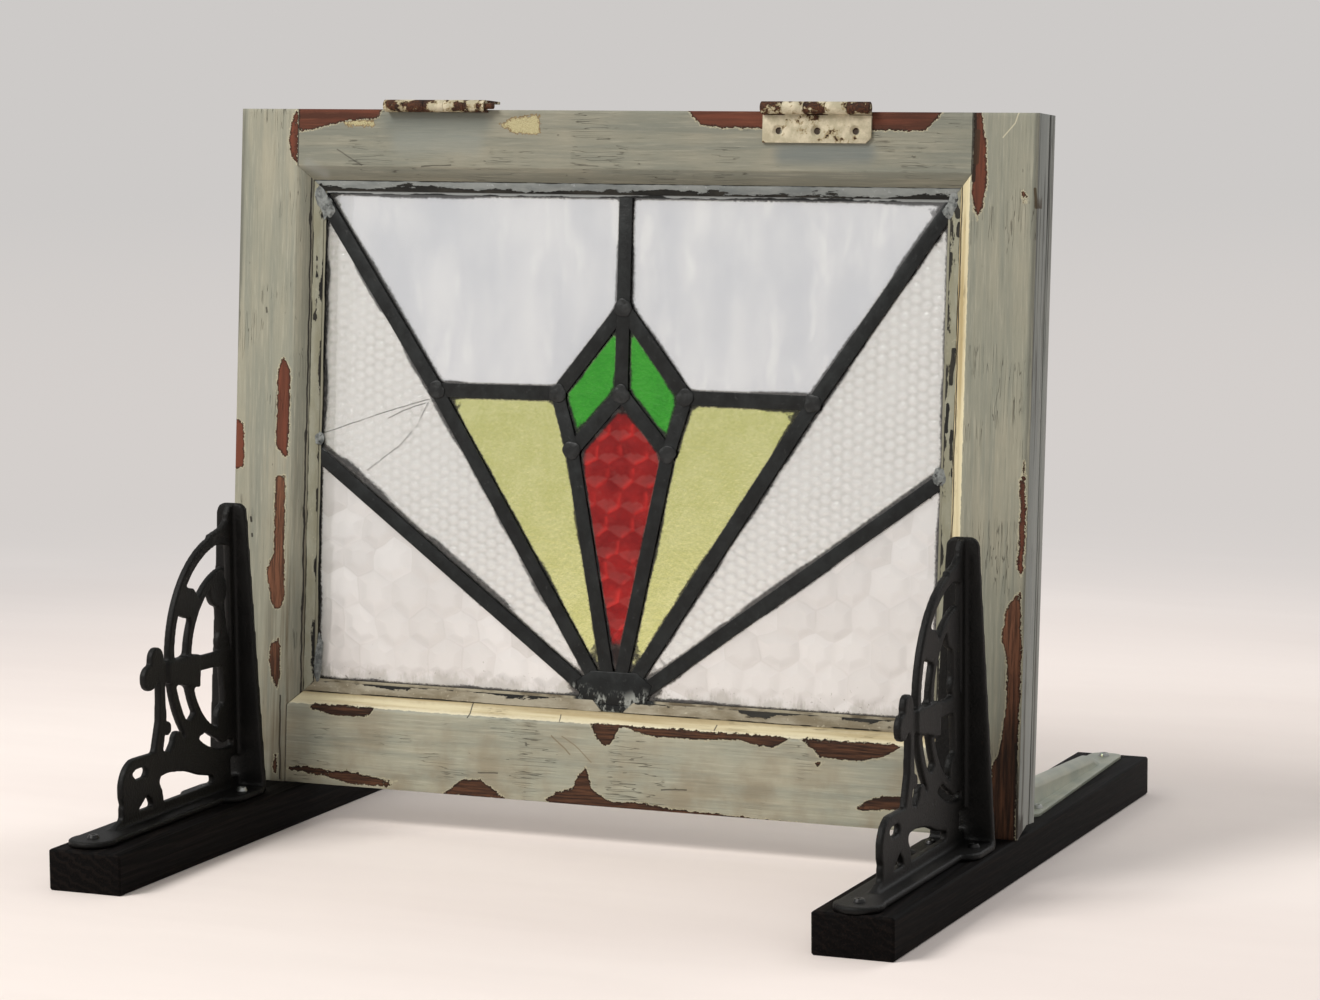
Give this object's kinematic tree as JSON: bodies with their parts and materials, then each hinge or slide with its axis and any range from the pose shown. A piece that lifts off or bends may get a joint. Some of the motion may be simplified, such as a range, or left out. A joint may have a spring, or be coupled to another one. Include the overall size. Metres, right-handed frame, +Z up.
{
  "type": "leaded stained glass panel",
  "caption": "Top-hung timber sash with a leaded sunburst of clear and coloured glass, standing on two timber feet between scrolled iron brackets.",
  "frame": {"origin": "centre of the bounding box in plan, on the floor plane under the feet", "axes": "+Z up, -Y the front of the sash, +X to the right of someone facing the front"},
  "size_m": [0.58, 0.553, 0.5001],
  "materials": {
    "painted_wood": "old sage green paint, brushed, cracked and flaking to red primer and bare timber",
    "stained_wood": "black stain on sawn softwood",
    "clear_glass": "clear textured glass, grimy",
    "amber_glass": "straw yellow hammered glass",
    "green_glass": "green hammered glass",
    "red_glass": "deep red hammered glass",
    "lead": "dull oxidised lead with tinned joints",
    "putty": "hard painted putty, cracked along its edges",
    "rusty_steel": "rust with remains of cream paint",
    "black_iron": "black japanned casting",
    "pressed_steel": "pale grey green stoved enamel",
    "screw_steel": "bright zinc"
  },
  "bodies": {
    "stand_and_sash": {"left_foot": "stained_wood", "right_foot": "stained_wood", "left_stile": "painted_wood", "right_stile": "painted_wood", "bottom_rail": "painted_wood", "top_rail": "painted_wood", "left_upper_pane": "clear_glass", "right_upper_pane": "clear_glass", "left_side_pane": "clear_glass", "right_side_pane": "clear_glass", "left_amber_pane": "amber_glass", "right_amber_pane": "amber_glass", "left_green_pane": "green_glass", "right_green_pane": "green_glass", "left_lower_pane": "clear_glass", "right_lower_pane": "clear_glass", "red_pane": "red_glass", "centre_came": "lead", "diagonal_cames": "lead", "petal_cames": "lead", "crown_cames": "lead", "cross_cames": "lead", "brow_cames": "lead", "ray_cames": "lead", "side_border_cames": "lead", "level_border_cames": "lead", "hub_plate": "lead", "solder_joints": "lead", "top_putty": "putty", "side_putty": "putty", "bottom_putty": "putty", "left_hinge_fixed_leaf": "rusty_steel", "right_hinge_fixed_leaf": "rusty_steel", "left_hinge_pin": "rusty_steel", "right_hinge_pin": "rusty_steel", "hinge_screws": "rusty_steel", "left_scroll_bracket": "black_iron", "right_scroll_bracket": "black_iron", "left_rear_bracket": "pressed_steel", "right_rear_bracket": "pressed_steel", "left_stand_screws": "screw_steel", "right_stand_screws": "screw_steel"},
    "left_free_leaf": {"left_hinge_free_leaf": "rusty_steel"},
    "right_free_leaf": {"right_hinge_free_leaf": "rusty_steel"}
  },
  "joints": [
    {"name": "left_hinge", "type": "hinge", "parent": "stand_and_sash", "child": "left_free_leaf", "pos_m": [-0.1385, 0.00888, 0.49599], "axis": [1, 0, 0], "range_deg": [0, 268]},
    {"name": "right_hinge", "type": "hinge", "parent": "stand_and_sash", "child": "right_free_leaf", "pos_m": [0.1385, 0.00888, 0.49599], "axis": [-1, 0, 0], "range_deg": [0, 268]}
  ]
}
